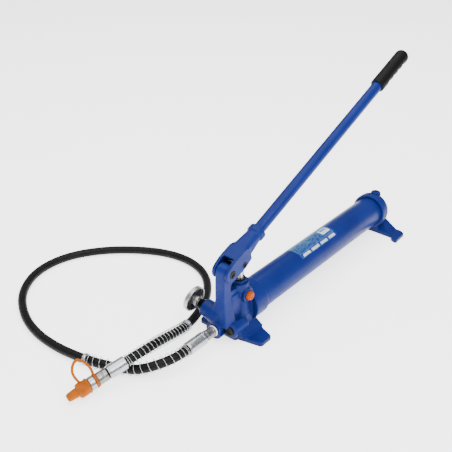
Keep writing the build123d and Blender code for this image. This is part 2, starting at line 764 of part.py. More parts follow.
def sleeve(first, last, outer, inner=0.0):
    """A round tube along the hose's centre line between two distances from its start."""
    stretch = hose_wire.trim(first / hose_length, last / hose_length)
    with BuildPart() as tube:
        with BuildLine():
            add(stretch)
        with BuildSketch(Plane(origin=stretch @ 0, z_dir=stretch % 0)):
            Circle(outer)
            if inner:
                Circle(inner, mode=Mode.SUBTRACT)
        sweep(path=stretch)
    volume = pi * (outer**2 - inner**2) * stretch.length
    print("sleeve", round(tube.part.volume / volume, 4), "of section times length")
    return tube


guard_b_from = hose_length - GUARD_B_LEN
save(sleeve(0.05, hose_length - 0.05, HOSE_R), "hose")
save(sleeve(0.3, GUARD_A_TO, GUARD_R, GUARD_BORE), "spring_guard_a")
save(sleeve(GUARD_A_TO + 0.5, GUARD_A_TO + CLAMP_LEN, GUARD_R, HOSE_R + GAP), "guard_clamp_a")
save(sleeve(guard_b_from - CLAMP_LEN, guard_b_from - 0.5, GUARD_R, HOSE_R + GAP), "guard_clamp_b")
save(sleeve(guard_b_from, hose_length - 0.3, GUARD_R, GUARD_BORE), "spring_guard_b")

# ================================================================ hose, second end
end_point = Vector(*HOSE_ROUTE[-1])
end_dir = (end_point - Vector(*HOSE_ROUTE[-2])).normalized()


def along_end(s):
    """The plane across the coupling's axis, s millimetres past the hose's end."""
    return Plane(origin=end_point + end_dir * s, x_dir=end_dir.cross(Vector(0, 0, 1)), z_dir=end_dir)


with BuildPart() as ferrule_b:
    with BuildSketch(along_end(0)):
        Circle(FERRULE_R)
    extrude(amount=37)
    chamfer(edges().filter_by(GeomType.CIRCLE).sort_by(Axis.X)[0], 1.5)
save(ferrule_b, "ferrule_b")

with BuildPart() as end_nipple:
    with BuildSketch(along_end(37)):
        Circle(10.5)
    extrude(amount=2.5)
    with BuildSketch(along_end(39.5)):
        Circle(12)
    extrude(amount=20)
    with BuildSketch(along_end(59.5)):
        Circle(9)
    extrude(amount=4.5)
save(end_nipple, "end_nipple")

with BuildPart() as coupler_body:
    with BuildSketch(along_end(64)):
        Circle(9)
    extrude(amount=22)
    bore(along_end(70), 5, 16)
save(coupler_body, "coupler_body")

with BuildPart() as coupler_ring:
    with BuildSketch(along_end(64.4)):
        Circle(13)
        Circle(9 + FIT, mode=Mode.SUBTRACT)
    extrude(amount=11)
save(coupler_ring, "coupler_ring")

with BuildPart() as dust_cap:
    # cup over the coupler's nose, with a tapered pull tab
    with BuildSketch(along_end(76)):
        Circle(CAP_R)
    extrude(amount=23)
    with BuildSketch(along_end(99)):
        Circle(9)
    with BuildSketch(along_end(120)):
        Circle(7.6)
    loft()
    fillet(edges().filter_by(GeomType.CIRCLE).sort_by(Axis.X)[0], 2.5)
    bore(along_end(76), 9.4, 17)
save(dust_cap, "dust_cap")

lean = end_dir.cross(Vector(0, 0, 1)).rotate(Axis((0, 0, 0), end_dir), STRAP_LEAN)
strap_side = Plane(origin=end_point, x_dir=end_dir, z_dir=lean)
with BuildPart() as cap_strap:
    # ring in the nipple's groove, and the band that loops over to the cap
    with BuildSketch(along_end(60)):
        Circle(13)
        Circle(9 + GAP, mode=Mode.SUBTRACT)
    extrude(amount=3.4)
    with BuildLine(strap_side):
        loop = Spline((61.7, 11), (60.3, 19), (61, 30), (76, 50), (91, 34), (91, 24), (89, CAP_R + 0.4))
    with BuildSketch(Plane(origin=loop @ 0, x_dir=strap_side.z_dir, z_dir=loop % 0)):
        RectangleRounded(5, 3, 1)
    sweep(path=loop)
save(cap_strap, "cap_strap")
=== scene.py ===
"""Looks of the hydraulic hand pump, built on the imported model's frame, +Z up.

The camera, floor and lamps are in metres. Places and sizes of pieces are in millimetres."""
import bpy
import json
import math
import numpy as np
from mathutils import Vector, Matrix

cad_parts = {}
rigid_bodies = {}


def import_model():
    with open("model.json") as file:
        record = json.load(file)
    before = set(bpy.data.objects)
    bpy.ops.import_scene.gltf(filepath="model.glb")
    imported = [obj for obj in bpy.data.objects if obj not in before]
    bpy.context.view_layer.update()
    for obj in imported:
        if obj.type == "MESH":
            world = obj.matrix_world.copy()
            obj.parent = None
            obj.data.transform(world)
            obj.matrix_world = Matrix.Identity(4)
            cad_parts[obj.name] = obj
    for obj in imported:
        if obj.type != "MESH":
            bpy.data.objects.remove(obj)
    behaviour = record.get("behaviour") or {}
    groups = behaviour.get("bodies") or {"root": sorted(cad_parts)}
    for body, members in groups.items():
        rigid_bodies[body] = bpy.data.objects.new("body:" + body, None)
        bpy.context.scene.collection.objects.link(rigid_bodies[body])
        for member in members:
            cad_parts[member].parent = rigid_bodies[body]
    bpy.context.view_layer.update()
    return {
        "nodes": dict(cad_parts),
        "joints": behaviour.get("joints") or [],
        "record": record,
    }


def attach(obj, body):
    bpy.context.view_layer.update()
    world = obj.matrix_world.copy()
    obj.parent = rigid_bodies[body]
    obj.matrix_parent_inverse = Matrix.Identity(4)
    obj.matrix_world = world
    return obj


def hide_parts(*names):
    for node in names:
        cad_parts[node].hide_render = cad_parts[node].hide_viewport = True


for leftover in list(bpy.data.objects):
    bpy.data.objects.remove(leftover)
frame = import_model()
NODES = frame["nodes"]
BODY = {node: body for body, members in frame["record"]["behaviour"]["bodies"].items()
        for node in members}
JOINT = {joint["name"]: joint for joint in frame["joints"]}
MM = 0.001
X = Vector((1, 0, 0))
Y = Vector((0, 1, 0))
Z = Vector((0, 0, 1))
ORIGIN = Vector((0, 0, 0))


def link(obj):
    bpy.context.scene.collection.objects.link(obj)
    return obj


# ================================================================ camera
def photo_camera(place, turn, tilt, focal_length):
    """A camera that looks along +X, turned left by turn and down by tilt, both in degrees.

    focal_length is in millimetres, for a sensor 36 mm wide."""
    turn = math.radians(turn)
    tilt = math.radians(tilt)
    level = Vector((math.cos(turn), math.sin(turn), 0))
    right = Vector((math.sin(turn), -math.cos(turn), 0))
    forward = level * math.cos(tilt) - Z * math.sin(tilt)
    upward = level * math.sin(tilt) + Z * math.cos(tilt)
    data = bpy.data.cameras.new("camera")
    data.sensor_width = 36
    data.lens = focal_length
    data.clip_end = 60
    camera = link(bpy.data.objects.new("camera", data))
    camera.matrix_world = Matrix.Translation(Vector(place)) @ Matrix(
        (right, upward, -forward)).transposed().to_4x4()
    bpy.context.scene.camera = camera


photo_camera(place=(-0.8737, -0.7007, 0.8806), turn=40, tilt=29.92965, focal_length=55.7522)


# ================================================================ materials
class Material:
    """A small builder for one procedural material."""

    def __init__(self, name):
        self.material = bpy.data.materials.new(name)
        self.material.use_nodes = True
        self.tree = self.material.node_tree
        self.shader = self.tree.nodes["Principled BSDF"]
        self.place = self.tree.nodes.new("ShaderNodeTexCoord").outputs["Object"]

    def put(self, value, socket):
        if hasattr(value, "is_output"):
            self.tree.links.new(value, socket)
        elif isinstance(value, (tuple, list)) and len(value) == 3 and len(socket.default_value) == 4:
            socket.default_value = (*value, 1)
        else:
            socket.default_value = value

    def set(self, name, value):
        self.put(value, self.shader.inputs[name])

    def math(self, operation, a, b=0.0):
        node = self.tree.nodes.new("ShaderNodeMath")
        node.operation = operation
        self.put(a, node.inputs[0])
        self.put(b, node.inputs[1])
        return node.outputs[0]

    def noise(self, scale, detail):
        node = self.tree.nodes.new("ShaderNodeTexNoise")
        self.put(self.place, node.inputs["Vector"])
        node.inputs["Scale"].default_value = scale
        node.inputs["Detail"].default_value = detail
        return node.outputs["Fac"]

    def ramp(self, value, low, high, to_low=0.0, to_high=1.0):
        node = self.tree.nodes.new("ShaderNodeMapRange")
        self.put(value, node.inputs["Value"])
        for key, number in (("From Min", low), ("From Max", high), ("To Min", to_low),
                            ("To Max", to_high)):
            node.inputs[key].default_value = number
        return node.outputs["Result"]

    def mix(self, factor, a, b):
        node = self.tree.nodes.new("ShaderNodeMix")
        node.data_type = "RGBA"
        self.put(factor, node.inputs[0])
        self.put(a, node.inputs[6])
        self.put(b, node.inputs[7])
        return node.outputs[2]

    def dot(self, axis):
        """Distance of a point along a direction, in metres."""
        node = self.tree.nodes.new("ShaderNodeVectorMath")
        node.operation = "DOT_PRODUCT"
        self.put(self.place, node.inputs[0])
        node.inputs[1].default_value = axis
        return node.outputs["Value"]

    def parts(self):
        node = self.tree.nodes.new("ShaderNodeSeparateXYZ")
        self.put(self.place, node.inputs[0])
        return node.outputs

    def bump(self, height, strength, distance):
        """Stack one more bump on the shader's normal."""
        node = self.tree.nodes.new("ShaderNodeBump")
        node.inputs["Strength"].default_value = strength
        node.inputs["Distance"].default_value = distance
        self.put(height, node.inputs["Height"])
        if self.shader.inputs["Normal"].is_linked:
            self.put(self.shader.inputs["Normal"].links[0].from_socket, node.inputs["Normal"])
        self.put(node.outputs["Normal"], self.shader.inputs["Normal"])

    def edges(self, low, high):
        """Mesh pointiness, 0 on flats to 1 on outer edges."""
        geometry = self.tree.nodes.new("ShaderNodeNewGeometry")
        return self.ramp(geometry.outputs["Pointiness"], low, high)


def enamel(name, cast):
    """Glossy royal blue paint, with the pebbled skin of a sand casting under it where cast; castings also
    get painted shade in crevices and lighter edges, part worn paint and part painted highlight.
    """
    n = Material(name)
    drift = n.ramp(n.noise(14, 3), 0.3, 0.7)
    colour = n.mix(drift, (0.0046, 0.0132, 0.112), (0.0068, 0.0185, 0.146))
    if cast:
        # painted highlight: outer edges turn a lighter blue in patches, partly worn paint and partly a
        # painted edge highlight
        edge_wear_and_highlight = n.math("MULTIPLY", n.edges(0.56, 0.66), n.ramp(n.noise(90, 4), 0.45, 0.62))
        colour = n.mix(n.math("MULTIPLY", edge_wear_and_highlight, 0.45), colour, (0.030, 0.090, 0.34))
        # painted shade: crevices and nooks darken to a near-black blue, by ambient occlusion
        crevice_shade_ao = n.tree.nodes.new("ShaderNodeAmbientOcclusion")
        crevice_shade_ao.inputs["Distance"].default_value = 0.030
        shade = n.ramp(crevice_shade_ao.outputs["AO"], 0.25, 0.92, 0.92, 0.0)
        colour = n.mix(shade, colour, (0.0008, 0.0050, 0.035))
        n.bump(n.noise(240, 3), 0.30, 0.0006)
    n.set("Base Color", colour)
    n.set("Roughness", n.ramp(n.noise(60, 4), 0.3, 0.7, 0.32, 0.50 if cast else 0.42))
    n.set("Specular IOR Level", 0.08)
    n.set("Coat Weight", 0.05)
    n.set("Coat Roughness", 0.12)
    n.bump(n.noise(1100, 1), 0.06, 0.0002)
    return n.material


def turned(name, colour, axis, roughness, pitch=2600.0):
    """Machined and plated metal with fine tool rings across one axis."""
    n = Material(name)
    along = n.math("MULTIPLY", n.dot(axis), pitch)
    node = n.tree.nodes.new("ShaderNodeTexNoise")
    node.noise_dimensions = "1D"
    n.put(along, node.inputs["W"])
    node.inputs["Detail"].default_value = 3
    rings = node.outputs["Fac"]
    blotch = n.ramp(n.noise(120, 4), 0.35, 0.65)
    n.set("Base Color", n.mix(blotch, colour, tuple(c * 0.82 for c in colour)))
    n.set("Metallic", 1.0)
    n.set("Roughness", n.ramp(n.noise(300, 3), 0.3, 0.7, roughness - 0.06, roughness + 0.08))
    n.bump(rings, 0.25, 0.0001)
    return n.material


def moulded(name, colour, roughness, grain=700.0, depth=0.25, deep=None):
    """Moulded plastic or rubber with a fine grain, in patches of colour and deep."""
    n = Material(name)
    n.set("Base Color", n.mix(n.ramp(n.noise(50, 4), 0.35, 0.65), colour,
                              deep or tuple(c * 0.75 for c in colour)))
    n.set("Roughness", n.ramp(n.noise(200, 3), 0.3, 0.7, roughness - 0.06, roughness + 0.07))
    n.set("Specular IOR Level", 0.11)
    n.bump(n.noise(grain, 3), depth, 0.0002)
    return n.material


def hose_cover():
    """Black rubber with the cloth-wrap impression of a cured hose."""
    n = Material("hose_cover")
    n.set("Base Color", n.mix(n.ramp(n.noise(35, 4), 0.35, 0.65), (0.002, 0.002, 0.0021),
                              (0.005, 0.005, 0.0052)))
    n.set("Roughness", n.ramp(n.noise(160, 4), 0.3, 0.7, 0.42, 0.60))
    n.set("Specular IOR Level", 0.12)
    weave = n.tree.nodes.new("ShaderNodeTexVoronoi")
    n.put(n.place, weave.inputs["Vector"])
    weave.inputs["Scale"].default_value = 1400
    n.bump(weave.outputs["Distance"], 0.18, 0.0002)
    n.bump(n.noise(420, 3), 0.20, 0.0003)
    return n.material


def printed_label():
    """Plain colour fields printed on film: no lettering."""
    n = Material("label_print")
    x, y, z = n.parts()
    turn = n.math("ARCTAN2", n.math("SUBTRACT", z, TANK.z * MM), n.math("MULTIPLY", y, -1.0))
    angle = n.math("MULTIPLY", turn, math.degrees(1))
    along = n.math("MULTIPLY", x, 1 / MM)

    def field(x_low, x_high, angle_low, angle_high):
        """1 in a box on the sticker, 0 around it."""
        inside = n.math("MULTIPLY", n.math("GREATER_THAN", along, x_low),
                        n.math("LESS_THAN", along, x_high))
        inside = n.math("MULTIPLY", inside, n.math("GREATER_THAN", angle, angle_low))
        return n.math("MULTIPLY", inside, n.math("LESS_THAN", angle, angle_high))

    def spaced(rate, level):
        """1 in stretches that repeat along the tank, 0 between them."""
        wave = n.math("SINE", n.math("MULTIPLY", along, rate))
        return n.math("GREATER_THAN", wave, level)

    clouds = n.math("MULTIPLY", n.ramp(n.noise(26, 3), 0.40, 0.66), field(186, 262, 72, 117))
    streaks = n.math("MULTIPLY", n.ramp(n.noise(90, 2), 0.54, 0.64), field(196, 250, 84, 108))
    panel = field(287, 315, 78, 106)
    panel_block = field(290, 312, 92, 103)
    panel_line = field(290, 312, 84, 87)
    dashes = n.math("MULTIPLY", n.math("MULTIPLY", spaced(1.25, -0.35), spaced(0.19, -0.80)),
                    field(192, 316, 51, 61))
    divider = field(188, 318, 66, 67.2)
    colour = n.mix(n.ramp(angle, 60, 118), (0.004, 0.032, 0.20), (0.006, 0.085, 0.24))
    for cover, ink in ((clouds, (0.012, 0.105, 0.200)), (streaks, (0.032, 0.170, 0.260)),
                       (panel, (0.72, 0.80, 0.84)), (panel_block, (0.05, 0.22, 0.42)),
                       (panel_line, (0.08, 0.28, 0.44)), (dashes, (0.86, 0.89, 0.92)),
                       (divider, (0.06, 0.20, 0.34))):
        colour = n.mix(cover, colour, ink)
    n.set("Base Color", colour)
    n.set("Roughness", n.ramp(n.noise(200, 3), 0.3, 0.7, 0.22, 0.36))
    n.set("Coat Weight", 0.3)
    n.bump(n.noise(300, 2), 0.05, 0.0002)
    return n.material


# ================================================================ places, in millimetres
LEVER_ANGLE = math.radians(23)
PIN_ALONG = 34.3                        # the piston pin, along the lever from the fulcrum
PIN_BELOW = 9.8                         # and below the fulcrum's line
ROD_ABOVE = 3                           # the rod's middle, above the fulcrum's line
COLLAR_ALONG = 70                       # the collar's turning point, from the hose's end
lever_dir = Vector((math.cos(LEVER_ANGLE), 0, math.sin(LEVER_ANGLE)))
lever_up = Vector((-math.sin(LEVER_ANGLE), 0, math.cos(LEVER_ANGLE)))
fulcrum = Vector(JOINT["handle_pivot"]["pos_m"]) / MM
piston_pin = fulcrum + lever_dir * PIN_ALONG - lever_up * PIN_BELOW
rod_line = fulcrum + lever_up * ROD_ABOVE
valve_at = Vector(JOINT["valve_turn"]["pos_m"]) / MM
valve_dir = Vector(JOINT["valve_turn"]["axis"])
coupling_dir = Vector(JOINT["collar_turn"]["axis"])
hose_end = Vector(JOINT["collar_turn"]["pos_m"]) / MM - coupling_dir * COLLAR_ALONG
TANK = Vector((0, 0, 55.5))             # points on the axes of the tank and the ports
PORT = Vector((0, 9, 28))
RELIEF = Vector((0, -18, 31))
INTAKE = Vector((0, 0, 35.5))
GAUGE_PLUG = Vector((2, -24, 90))
FILLER = Vector((532, 0, 0))
LABEL_X = (185, 321)                    # the sticker's two ends
LABEL_ANGLE = (47, 117)                 # its two long edges, in degrees up from the tank's -Y side
LABEL_RADII = (35.06, 35.28)            # its inner and outer face
LABEL_CORNER = 4.0
LABEL_MM_PER_DEGREE = 0.61              # across the sticker, round the tank


# ================================================================ the materials in use
CAST = enamel("cast_enamel", True)
PAINT = enamel("tube_enamel", False)
ZINC_X = turned("zinc_x", (0.42, 0.44, 0.46), X, 0.28)
ZINC_VALVE = turned("zinc_knob", (0.46, 0.46, 0.46), valve_dir, 0.34)
ZINC_END = turned("zinc_coupling", (0.42, 0.44, 0.46), coupling_dir, 0.28)
ZINC_Z = turned("zinc_piston", (0.60, 0.58, 0.56), Z, 0.28)
STEEL_X = turned("steel_x", (0.25, 0.245, 0.245), X, 0.36)
STEEL_END = turned("steel_coupling", (0.25, 0.245, 0.24), coupling_dir, 0.34)
WIRE = turned("spring_wire", (0.46, 0.47, 0.48), X, 0.26, 900.0)
BLACKED = turned("blacked_steel", (0.012, 0.0115, 0.0115), Y, 0.42, 1500.0)
GRIP = moulded("grip_black", (0.0025, 0.0025, 0.0029), 0.50, 520, 0.35)
BLACK = moulded("plug_black", (0.0025, 0.0025, 0.0027), 0.46)
SEAL = moulded("seal_black", (0.014, 0.014, 0.014), 0.55)
WHITE = moulded("seal_white", (0.94, 0.94, 0.93), 0.40, deep=(0.88, 0.88, 0.87))
ORANGE = moulded("plug_orange", (0.36, 0.062, 0.0001), 0.42, 900, 0.12, deep=(0.31, 0.050, 0.0001))
ORANGE_SOFT = moulded("cap_orange", (0.36, 0.090, 0.0001), 0.50, 600, 0.22, deep=(0.30, 0.066, 0.0001))
HOSE = hose_cover()
LABEL = printed_label()
# dark grey for the release knob's annular recess, darker than its rim and hub
DARK_RECESS = moulded("recess_grey", (0.028, 0.028, 0.028), 0.5)
BRASS = turned("brass_mesh", (0.70, 0.50, 0.22), X, 0.35, 1200.0)


# ================================================================ making pieces
def claim(obj, node):
    """The piece stands for this CAD node and rides on its body."""
    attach(obj, BODY[node])
    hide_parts(node)
    return obj


def mesh_object(name, points, faces, materials, face_slots=None, crease=35):
    mesh = bpy.data.meshes.new(name)
    mesh.from_pydata([tuple(p) for p in points], [], faces)
    for material in materials:
        mesh.materials.append(material)
    mesh.validate()
    mesh.update()
    if face_slots is not None:
        mesh.polygons.foreach_set("material_index", face_slots)
    mesh.shade_smooth()
    mesh.set_sharp_from_angle(angle=math.radians(crease))
    return link(bpy.data.objects.new(name, mesh))


THIN = 0.01          # the radius that stands for none, so that a ring of points stays a ring


def across(axis):
    """Two unit vectors at right angles to axis and each other."""
    axis = Vector(axis).normalized()
    first = axis.cross(Z if abs(axis.z) < 0.9 else X).normalized()
    return first, axis.cross(first)


def softened(profile, size, loop):
    """Replace each corner of a lathe profile by a short curve of four points."""
    count = len(profile)
    result = []
    for k, (s, r) in enumerate(profile):
        if not loop and k in (0, count - 1):
            result.append((s, r))
            continue
        here = np.array((s, r), float)
        before = np.array(profile[k - 1], float) - here
        after = np.array(profile[(k + 1) % count], float) - here
        reach = min(size, 0.45 * np.linalg.norm(before), 0.45 * np.linalg.norm(after))
        a = here + before / np.linalg.norm(before) * reach
        b = here + after / np.linalg.norm(after) * reach
        for t in (0.0, 0.33, 0.67, 1.0):
            result.append(tuple((1 - t)**2 * a + 2 * t * (1 - t) * here + t**2 * b))
    return result


def lathe(name, node, origin, axis, profile, materials, loop=False, segments=96, edge=0.35,
          warp=None, paint=None):
    """Turn a profile of (distance along, radius) round an axis, all in millimetres.

    warp(s, r, angle) gives a changed radius, and paint(s, r) a material number."""
    profile = softened(profile, edge, loop)
    first, second = across(axis)
    axis = Vector(axis).normalized()
    points = []
    for s, r in profile:
        for k in range(segments):
            angle = 2 * math.pi * k / segments
            radius = warp(s, r, angle) if warp else r
            side = first * math.cos(angle) + second * math.sin(angle)
            points.append((origin + axis * s + side * max(radius, THIN)) * MM)
    rows = len(profile)
    faces = []
    slots = []
    for row in range(rows if loop else rows - 1):
        following = (row + 1) % rows
        middle = [(profile[row][i] + profile[following][i]) / 2 for i in (0, 1)]
        for k in range(segments):
            j = (k + 1) % segments
            faces.append((row * segments + k, row * segments + j,
                          following * segments + j, following * segments + k))
            slots.append(paint(*middle) if paint else 0)
    if not loop:
        faces.append(tuple(range(segments))[::-1])
        faces.append(tuple((rows - 1) * segments + k for k in range(segments)))
        slots += [slots[0], slots[-1]]
    return claim(mesh_object(name, points, faces, materials, slots), node)


def knurled(count, depth, least_radius, low=-math.inf, high=math.inf):
    """Ribs along the rim of a turned piece, where it is wider than least_radius."""
    def warp(s, r, angle):
        if r > least_radius and low < s < high:
            return r - depth * (0.5 + 0.5 * math.cos(count * angle))
        return r
    return warp


def crimped(low, high, count, depth):
    """Lengthwise crimp flats between two distances along a ferrule."""
    def warp(s, r, angle):
        if low < s < high:
            fade = min(1.0, (s - low) / 2, (high - s) / 2)
            return r - depth * fade * abs(math.sin(count * angle / 2)) ** 6
        return r
    return warp


def freedom(points, kept):
    """How far each point may move when a casting is smoothed: 0 in kept cylinders to 1 outside."""
    free = np.ones(len(points))
    for point, axis, radius, low, high in kept:
        offset = points / MM - np.array(point, float)
        axis = np.array(axis, float) / np.linalg.norm(axis)
        along = offset @ axis
        away = np.linalg.norm(offset - along[:, None] * axis, axis=1)
        inside = np.clip((away - radius) / KEPT_MARGIN, 0, 1)
        ends = np.clip(np.maximum(low - along, along - high) / KEPT_MARGIN, 0, 1)
        free = np.minimum(free, np.maximum(inside, ends))
    return free


def relax(points, pairs, free, rounds):
    """Draw every point towards the middle of its neighbours, as far as it is free."""
    degree = np.bincount(pairs.ravel(), minlength=len(points))[:, None]
    for _ in range(rounds):
        total = np.zeros_like(points)
        for axis in range(3):
            total[:, axis] = (np.bincount(pairs[:, 0], points[pairs[:, 1], axis], len(points))
                              + np.bincount(pairs[:, 1], points[pairs[:, 0], axis], len(points)))
        points += 0.5 * free[:, None] * (total / degree - points)


KEPT_MARGIN = 1.5    # the width over which a casting goes from kept to smoothed


def casting(name, node, material, voxel, rounds, kept):
    """A cast skin over a CAD solid: its edges blend together, except near machined faces.

    kept holds (point, axis, radius, low, high) in millimetres, cylinders that stay sharp."""
    source = bpy.data.objects.new(name + "_rough", NODES[node].data.copy())
    link(source)
    weld = source.modifiers.new("weld", "WELD")
    weld.merge_threshold = 1e-6
    skin = source.modifiers.new("skin", "REMESH")
    skin.mode = "VOXEL"
    skin.voxel_size = voxel * MM * 1.0
    depsgraph = bpy.context.evaluated_depsgraph_get()
    mesh = bpy.data.meshes.new_from_object(source.evaluated_get(depsgraph))
    bpy.data.objects.remove(source)
    points = np.empty(len(mesh.vertices) * 3)
    mesh.vertices.foreach_get("co", points)
    points = points.reshape(-1, 3)
    pairs = np.empty(len(mesh.edges) * 2, int)
    mesh.edges.foreach_get("vertices", pairs)
    relax(points, pairs.reshape(-1, 2), freedom(points, kept), rounds // (1))
    mesh.vertices.foreach_set("co", points.ravel())
    mesh.materials.clear()
    mesh.materials.append(material)
    mesh.shade_smooth()
    mesh.update()
    return claim(link(bpy.data.objects.new(name, mesh)), node)


# ================================================================ the hose
HOSE_ROUTE = [
    (-141, 9, 28), (-156, 9, 28), (-173, 11.6, 27.6), (-190, 17.7, 26), (-205.5, 27, 23.2),
    (-219.3, 39.6, 18.8), (-230.6, 56, 13.2), (-241.5, 77, 11.9), (-254.5, 105, 12),
    (-265.5, 136, 12), (-274, 172, 11.4), (-280, 222, 9.3), (-279, 286, 9.3), (-260, 354, 9.3),
    (-215, 424, 9.3), (-146, 467, 9.3), (-66, 467, 9.3), (7, 426, 9.3), (65, 362, 9.3),
    (103, 292, 9.3), (110, 222, 9.3), (86, 159, 9.3), (32, 110, 9.3), (-28, 83, 12.5),
    (-78, 67.5, 17.6), (-118, 63.8, 25), (-150, 60.7, 33), (-177, 58, 38.5), (-201, 57.2, 41),
    (-223, 59.6, 40.6), (-243.7, 64.9, 36.1),
]
HOSE_RADIUS = 9


def route_curve(name, radius):
    """The hose's centre line as one open NURBS spline. The points carry the radius, so that the
    curve's box is its own size."""
    curve = bpy.data.curves.new(name, "CURVE")
    curve.dimensions = "3D"
    curve.resolution_u = 16
    spline = curve.splines.new("NURBS")
    spline.points.add(len(HOSE_ROUTE) - 1)
    for point, place in zip(spline.points, HOSE_ROUTE):
        point.co = (place[0] * MM, place[1] * MM, place[2] * MM, 1)
        point.radius = radius
    spline.order_u = 3
    spline.use_endpoint_u = True
    curve.bevel_depth = 1.0 if radius else 0.0
    curve.bevel_resolution = 10
    curve.use_fill_caps = radius > 0
    return link(bpy.data.objects.new(name, curve))


def centre_line():
    """Points along the hose's middle in millimetres, and each one's distance from the port end."""
    thread = route_curve("hose_thread", 0.0)
    bpy.context.view_layer.update()
    mesh = bpy.data.meshes.new_from_object(
        thread.evaluated_get(bpy.context.evaluated_depsgraph_get()))
    bpy.data.objects.remove(thread)
    points = np.array([tuple(v.co) for v in mesh.vertices]) / MM
    steps = np.linalg.norm(np.diff(points, axis=0), axis=1)
    return points, np.concatenate(([0], np.cumsum(steps)))


hose_points, hose_arc = centre_line()
total_arc = hose_arc[-1]


def hose_at(where):
    """The hose's middle at these distances along it."""
    return np.stack([np.interp(where, hose_arc, hose_points[:, k]) for k in range(3)], 1)


def frames_along(where):
    """Points along the hose and two cross directions at each, carried without twist."""
    tangent = hose_at(where + 1) - hose_at(where - 1)
    tangent /= np.linalg.norm(tangent, axis=1)[:, None]
    side = np.empty_like(tangent)
    side[0] = np.cross(tangent[0], Z)
    for k in range(len(where)):
        guess = side[max(k - 1, 0)]
        guess = guess - tangent[k] * (guess @ tangent[k])
        side[k] = guess / np.linalg.norm(guess)
    return hose_at(where), side, np.cross(tangent, side)


def swept(name, centre, side, other, radii, material, ring, crease=35):
    """A closed round skin: one ring of points at each centre, with that centre's radius."""
    turns = [2 * math.pi * j / ring for j in range(ring)]
    count = len(centre)
    points = [(centre[k] + radii[k] * (side[k] * math.cos(t) + other[k] * math.sin(t))) * MM
              for k in range(count) for t in turns]
    faces = []
    for k in range(count - 1):
        for j in range(ring):
            following = (j + 1) % ring
            faces.append((k * ring + j, k * ring + following,
                          (k + 1) * ring + following, (k + 1) * ring + j))
    faces.append(tuple(range(ring))[::-1])
    faces.append(tuple((count - 1) * ring + j for j in range(ring)))
    return mesh_object(name, points, faces, [material], crease=crease)


def wire_along(name, line, radius, material):
    """A wire of round section along a line of points in millimetres."""
    tangent = np.gradient(line, axis=0)
    tangent /= np.linalg.norm(tangent, axis=1)[:, None]
    side = np.empty_like(line)
    guess = np.cross(tangent[0], (0.3, 0.2, 0.9))
    for k in range(len(line)):
        guess = guess - tangent[k] * (guess @ tangent[k])
        guess /= np.linalg.norm(guess)
        side[k] = guess
    return swept(name, line, side, np.cross(tangent, side), [radius] * len(line), material,
                 ring=10, crease=60)


WIRE_RADIUS = 0.65
WIRE_POINTS = 1800   # along one guard's wire
TIGHT = 11.0         # mean radius of the coils where they are squeezed
LOOSE = 12.2         # and where they hang free


def spring_guard(name, node, first, last, swell, turns_at, lift=0.0):
    """A helix of wire round the hose. swell lists (distance, mean radius), turns_at (distance, turns
    so far); lift is how far the loose coils hang above the hose's middle."""
    where = np.linspace(first, last, WIRE_POINTS)
    centre, side, other = frames_along(where)
    phase = 2 * math.pi * np.interp(where, *zip(*turns_at))
    coil = np.interp(where, *zip(*swell))[:, None]
    centre[:, 2] += lift * np.clip((coil[:, 0] - TIGHT) / (LOOSE - TIGHT), 0, 1)
    line = centre + coil * (side * np.cos(phase)[:, None] + other * np.sin(phase)[:, None])
    return claim(wire_along(name, line, WIRE_RADIUS, WIRE), node)


def band_along(name, node, first, last, radii, material):
    """A short sleeve along the hose with a rounded outline."""
    centre, side, other = frames_along(np.linspace(first, last, len(radii)))
    return claim(swept(name, centre, side, other, radii, material, ring=64), node)


hose = claim(route_curve("hose_run", HOSE_RADIUS * MM), "hose")
hose.data.materials.append(HOSE)

A_TO = 205.0                      # where guard A ends, from the port
B_FROM = total_arc - 165          # where guard B starts
guard_a = spring_guard("guard_a_wire", "spring_guard_a", 2.2, A_TO - 1.5,
                       [(0, TIGHT), (25, LOOSE), (105, LOOSE), (128, TIGHT), (158, TIGHT),
                        (172, LOOSE), (A_TO, 12.0)],
                       [(0, 0), (6, 2.5), (20, 4.2), (A_TO - 7, 17.4), (A_TO, 19.0)], lift=1.0)
guard_b = spring_guard("guard_b_wire", "spring_guard_b", B_FROM + 1.5, total_arc - 2.2,
                       [(B_FROM, 11.4), (B_FROM + 20, LOOSE), (total_arc - 60, LOOSE),
                        (total_arc - 30, 11.6), (total_arc, 11.4)],
                       [(B_FROM, 0), (B_FROM + 6, 2.0), (B_FROM + 16, 3.4), (total_arc - 7, 18.6),
                        (total_arc, 20.4)])
CLAMP_HALF = [9.15, 10.6, 11.3, 11.55, 11.3, 11.55, 11.6]
CLAMP = CLAMP_HALF + CLAMP_HALF[::-1]
clamp_a = band_along("guard_a_clamp", "guard_clamp_a", A_TO + 0.5, A_TO + 8, CLAMP, ZINC_X)
clamp_b = band_along("guard_b_clamp", "guard_clamp_b", B_FROM - 8, B_FROM - 0.5, CLAMP, ZINC_X)

